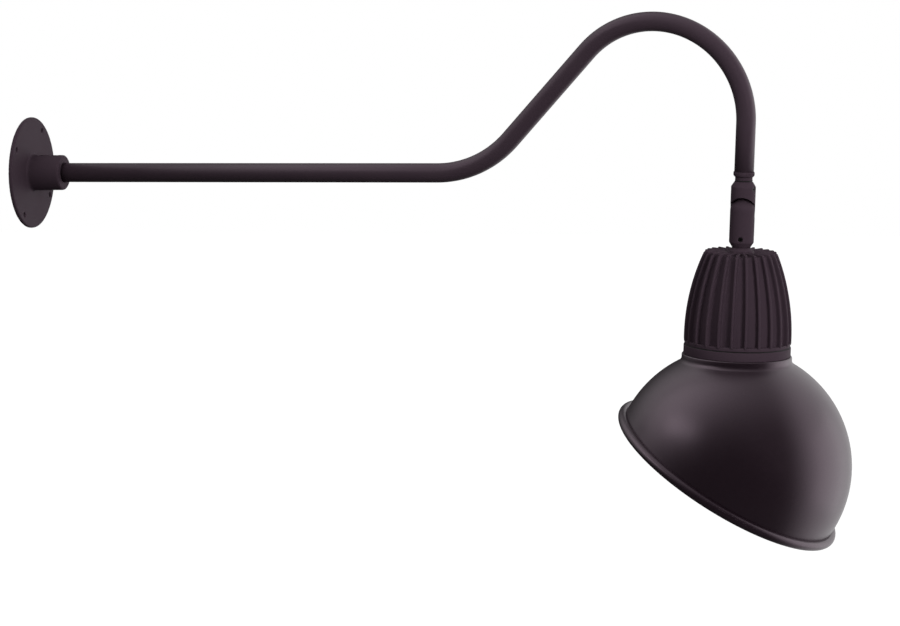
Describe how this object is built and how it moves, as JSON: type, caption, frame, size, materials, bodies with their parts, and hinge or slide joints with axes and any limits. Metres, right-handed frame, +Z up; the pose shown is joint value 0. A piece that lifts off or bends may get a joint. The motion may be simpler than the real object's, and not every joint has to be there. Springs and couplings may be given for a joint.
{
  "type": "gooseneck wall light",
  "caption": "Gooseneck wall light: round wall plate, bent pipe arm with an arch, swivel knuckle, finned heat sink and an angled dome shade over a glass lens.",
  "frame": {"origin": "centre of the wall plate's back face, on the wall", "axes": "+X away from the wall along the arm, +Z up, +Y to the left of someone who looks out from the wall"},
  "size_m": [0.9412, 0.2726, 0.5825],
  "materials": {
    "cast_bronze_coat": "fine dark bronze powder coat on cast aluminium",
    "pipe_bronze_coat": "fine dark bronze powder coat on steel pipe",
    "shade_bronze_coat": "smooth satin dark bronze coat outside, white coat inside, on spun aluminium",
    "black_screws": "black oxide steel",
    "black_rubber": "matte black rubber",
    "plain_steel": "plain steel",
    "washer_plastic": "matte ivory plastic",
    "driver_case": "matte off-white plastic",
    "bare_aluminium": "turned bare aluminium",
    "pad_grey": "soft grey silicone",
    "board_white": "white solder mask",
    "phosphor_yellow": "yellow phosphor gel",
    "reflector_bright": "bright metallised inside",
    "clear_glass": "clear tempered glass"
  },
  "bodies": {
    "arm": {"wall_plate": "cast_bronze_coat", "wall_gasket": "black_rubber", "hub_set_screws": "black_screws", "gooseneck_tube": "pipe_bronze_coat", "arm_stem": "cast_bronze_coat", "stem_seal_ring": "black_rubber"},
    "upper_knuckle": {"swivel_upper": "cast_bronze_coat", "upper_lock_screw": "black_screws"},
    "lower_knuckle": {"swivel_lower": "cast_bronze_coat", "lower_lock_screw": "black_screws", "pivot_screw": "black_screws", "pivot_spring_washer": "plain_steel", "pivot_friction_washer": "washer_plastic"},
    "head": {"head_stem": "cast_bronze_coat", "heat_sink": "cast_bronze_coat", "driver": "driver_case", "driver_screws": "plain_steel", "led_carrier": "bare_aluminium", "carrier_screws": "plain_steel", "thermal_pad": "pad_grey", "led_board": "board_white", "board_screws": "plain_steel", "led_chip": "phosphor_yellow", "collar_gasket": "black_rubber", "shade_collar": "cast_bronze_coat", "collar_screws": "plain_steel", "shade": "shade_bronze_coat", "shade_nut": "cast_bronze_coat", "reflector": "reflector_bright", "lens_gasket": "black_rubber", "lens": "clear_glass", "lens_ring": "cast_bronze_coat"}
  },
  "joints": [
    {"name": "swivel_turn", "type": "hinge", "parent": "arm", "child": "upper_knuckle", "pos_m": [0.83129, 0, -0.04043], "axis": [0.0698, 0, 0.9976], "range_deg": [-175, 175]},
    {"name": "head_tilt", "type": "hinge", "parent": "upper_knuckle", "child": "lower_knuckle", "pos_m": [0.83129, 0, -0.04043], "axis": [-0.1903, 0.9816, 0.0133], "range_deg": [-45, 45]},
    {"name": "head_turn", "type": "hinge", "parent": "lower_knuckle", "child": "head", "pos_m": [0.83129, 0, -0.04043], "axis": [0.0698, 0, 0.9976], "range_deg": [-175, 175]}
  ]
}
